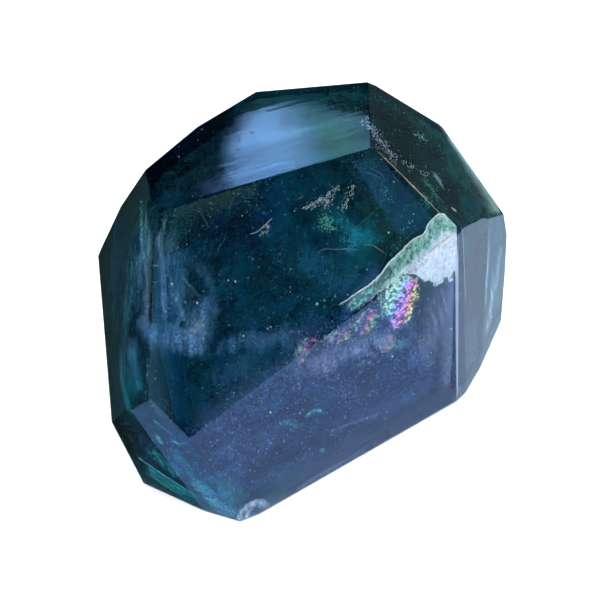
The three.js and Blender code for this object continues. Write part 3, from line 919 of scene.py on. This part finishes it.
def plain_finishes(ending, metal):
    """One plain finish for each colour name."""
    labels = {name: name.replace(" ", "_") + ending for name in TINTS}
    return {name: plain_finish(labels[name], tint, metal) for name, tint in TINTS.items()}


def lay_threads():
    """Healed hairlines and arcs, and painted lines: a highlight along the right bevel and a reflection
    along the right shoulder's edge.
    """
    finishes = plain_finishes("_thread", 0.2)
    for number, (name, flat, depth, width, tint, stops) in enumerate(THREADS):
        thread(name, Flat(flat), depth, stops, width, finishes[tint], seed=number)


def sprinkled(flat, count, deepest, draw):
    """Places sprinkled beneath the whole of a flat, most of them just under it."""
    depth = 0.3 + deepest * draw.uniform(0, 1, count) ** 2
    turn = draw.uniform(0, 2 * math.pi, count)
    spoke = np.multiply.outer(np.cos(turn), flat.along) + np.multiply.outer(np.sin(turn), flat.up)
    start = flat.middle - np.multiply.outer(depth * MM, flat.out)
    room = LEVELS - 0.3 * MM - start @ OUTWARD.T
    gain = spoke @ OUTWARD.T
    reach = np.where(gain > 1e-3, room / np.maximum(gain, 1e-3), 1.0).min(axis=1)
    share = np.sqrt(draw.uniform(0, 1, count)) * 0.98
    return start + spoke * (np.maximum(reach, 0) * share)[:, None]


def lay_grains():
    """Bright grains: a few that stand alone, the frayed clusters, the crusts and a fine dust."""
    finishes = plain_finishes("_grain", 0.0)
    place_seed, size_seed, dust_seed = 20, 60, 100  # each cluster and each dust adds its number
    for number, (name, flat, depth, tint, count, small, large, spread, lie, stops) in enumerate(CLUSTERS):
        places = strewn(Flat(flat), stops, count, spread, depth, place_seed + number)
        sizes = np.random.default_rng(size_seed + number).uniform(small, large, count)
        grains(name, Flat(flat), places, sizes, finishes[tint], number, lie)
    for name, rows in SPECKS.items():
        along, up, sizes = np.array(rows).T
        grains(name + "_specks", Flat(name), Flat(name).under(along, up, 0.35), sizes * 0.75,
               finishes["white"])
    for number, (name, tint, count, deepest) in enumerate(DUST):
        draw = np.random.default_rng(dust_seed + number)
        places = sprinkled(Flat(name), count, deepest, draw)
        sizes = 0.12 + 0.18 * draw.uniform(0, 1, count) ** 6
        label = name.replace(" ", "_") + "_" + tint + "_dust"
        grains(label, Flat(name), places, sizes, finishes[tint], 5)


# ---------------------------------------------------------------- studio

def add_floor():
    """A plain pale floor: one wide level grid."""
    half, count = 3, 13  # metres, and lines each way
    line = np.linspace(-half, half, count)
    s, t = np.meshgrid(line, line, indexing="ij")
    grid = np.stack((s, t, np.zeros_like(s)), axis=2)
    material, bench, shader = finish_bench("floor")
    pale = color(0.92, 0.92, 0.92)
    bench.feed(shader, {"Base Color": pale, "Roughness": 0.9, "Specular IOR Level": 0.0})
    mesh = bpy.data.meshes.new("floor")
    index = np.arange(count * count).reshape(count, count)
    faces = np.stack((index[:-1, :-1], index[1:, :-1], index[1:, 1:], index[:-1, 1:]), axis=2)
    mesh.from_pydata(grid.reshape(-1, 3).tolist(), [], faces.reshape(-1, 4).tolist())
    mesh.materials.append(material)
    floor = bpy.data.objects.new("floor", mesh)
    SCENE.collection.objects.link(floor)
    floor.visible_glossy = False


ROOM_LIGHT = 2.2  # the even light that is seen through the stone
# One soft lamp that the right bevel mirrors: its bearing and rise, its radius and softness, in degrees.
LAMP_WAY = aim(-4.3, -18.7)
LAMP_RADIUS, LAMP_SOFTNESS, LAMP_LIGHT = 6, 6, (2.3, 2.9, 4.6)


def add_world():
    """One even white for what is seen or lit through the stone; table, lamp and dark room for gloss."""
    world = bpy.data.worlds.new("studio")
    SCENE.world = world
    bench = Bench(world)
    way = bench.add("TexCoord", None, None, "Generated")
    x, y, z = (bench.part(way, index) for index in range(3))
    room = bench.mix(bench.ease(x, -0.2, 0.4), color(0.05, 0.11, 0.11), color(0.12, 0.18, 0.20))
    room = bench.mix(bench.ease(z, 0.08, 0.2), room, color(0.01, 0.02, 0.04))
    table = bench.mix(bench.ease(y, -0.3, 0.2), color(1.1, 1.65, 3.3), color(1.3, 1.65, 2.3))
    table = bench.mix(bench.ease(x, 0.0, -0.4), table, color(0.55, 1.05, 2.2))
    table = bench.mix(bench.ease(y, 0.42, 0.52), table, color(0.90, 1.30, 1.85))
    side = bench.ease(x * 0.8 - y * 0.6, -0.26, -0.16)
    below = bench.ease(z * -1 - y * 0.3, 0.14, 0.2)
    shine = bench.mix(side * below, room, table)
    outer, inner = (math.cos(math.radians(turn)) for turn in (LAMP_RADIUS + LAMP_SOFTNESS, LAMP_RADIUS))
    lamp = bench.ease(bench.along(way, LAMP_WAY), outer, inner)
    shine = bench.mix(lamp, shine, color(*LAMP_LIGHT))
    gloss = bench.add("LightPath", None, None, "Is Glossy Ray")
    through = bench.add("LightPath", None, None, "Is Transmission Ray")
    seen = bench.mix(gloss * (1 - through), color(ROOM_LIGHT, ROOM_LIGHT, ROOM_LIGHT), shine)
    bench.feed(bench.own("Background"), {"Color": seen})


CAMERA_FAR, CAMERA_SENSOR, CAMERA_LENS = 0.42, 36, 210  # metres, then millimetres twice
CAMERA_AT = HEART + aim(-90, 45) * CAMERA_FAR
CAMERA_UP = np.array((0, math.sqrt(0.5), math.sqrt(0.5)))
WINDOW_FAR = 1.12  # from the camera to the window's image in the crown
WINDOW_ACROSS, WINDOW_ABOVE = -0.5, 17.5  # where the image shows, in millimetres beside and above the heart
WINDOW_WIDTH, WINDOW_HEIGHT = 0.074, 0.036


def window_finish(data):
    """The window's light: dimmer to one side, with a green spot, an arched edge and slanting streaks."""
    data.use_nodes = True
    bench = Bench(data)
    both = bench.add("NewGeometry", None, None, "Parametric")
    s, t = bench.part(both, 0), bench.part(both, 1)
    light = bench.mix(bench.ease(t, 0.1, 0.9), color(2.3, 4.9, 10.4), color(4.3, 9.0, 17.4))
    right = bench.ease(s + bench.ease(t, 0.6, 0.95) * 0.08, 0.4, 0.66)
    light = bench.mix(right, light, color(1.1, 2.8, 4.4))
    spot = bench.math("SQRT", ((s - 0.68) * 2) ** 2 + (t - 0.62) ** 2)
    light = bench.mix(bench.ease(spot, 0.3, 0.0) * 0.6, light, color(1.2, 3.6, 2.6))
    arch = 1.0 - bench.math("SQRT", (s - 0.53) ** 2 + 0.002) * 0.42
    tail = bench.ease(s, 0.04, 0.2) * bench.ease(t, 0.36, 0.12) * 0.4
    slanted = bench.add("CombineXYZ", None, {0: (t - s * 0.48) * 7.5, 1: s * 0.7})
    streak = bench.noise(slanted, 1.0, 3.0, 0.6)
    left = bench.ease(s - bench.ease(t, 0.5, 0.95) * 0.1 + (streak - 0.5) * 0.2, 0.155, 0.27)
    streaked = 0.6 + bench.ease(streak, 0.38, 0.62) * 0.75
    bright = bench.most(left, tail) * bench.ease(t - arch, 0.0, -0.1) * streaked
    bench.feed(bench.own("Emission"), {"Color": light, "Strength": bright})


def add_window():
    """A soft window stands where the crown mirrors it: its image lies far behind the crown."""
    crown = Flat("crown")
    seen = HEART + np.array((WINDOW_ACROSS, 0, 0)) * MM + CAMERA_UP * WINDOW_ABOVE * MM
    image = CAMERA_AT + (seen - CAMERA_AT) * WINDOW_FAR / CAMERA_FAR
    lift = (image - HEART) @ crown.out - crown.reach
    place = image - 2 * lift * crown.out
    mirror = np.eye(3) - 2 * np.outer(crown.out, crown.out)
    across, upward = mirror @ np.array((1.0, 0, 0)), mirror @ CAMERA_UP
    facing = np.cross(across, upward)
    turn = np.stack((across, upward, facing), axis=1)
    if facing @ (place - HEART) < 0:
        turn = np.stack((-across, upward, -facing), axis=1)
    matrix = np.eye(4)
    matrix[:3, :3], matrix[:3, 3] = turn, place
    data = bpy.data.lights.new("window", "AREA")
    data.shape = "RECTANGLE"
    data.size, data.size_y = WINDOW_WIDTH, WINDOW_HEIGHT
    data.energy = math.pi * WINDOW_WIDTH * WINDOW_HEIGHT
    window_finish(data)
    lamp = bpy.data.objects.new("window", data)
    SCENE.collection.objects.link(lamp)
    lamp.matrix_world = Matrix(matrix.tolist())
    lamp.visible_camera = False


def add_camera():
    """A long lens that looks down on the stone's heart at 45 degrees."""
    data = bpy.data.cameras.new("camera")
    data.sensor_width, data.lens, data.clip_start = CAMERA_SENSOR, CAMERA_LENS, 0.01
    camera = bpy.data.objects.new("camera", data)
    SCENE.collection.objects.link(camera)
    camera.location = CAMERA_AT
    camera.rotation_euler = Vector(CAMERA_AT - HEART).to_track_quat("Z", "Y").to_euler()
    SCENE.camera = camera


STONE.material_slots[0].material = stone_finish()
lay_clouds()
lay_crack()
lay_hazes()
lay_threads()
lay_grains()
add_floor()
add_world()
add_window()
add_camera()
SCENE.view_settings.view_transform = "Standard"
SCENE.cycles.transparent_max_bounces = 24  # films, clouds and grains lie many deep
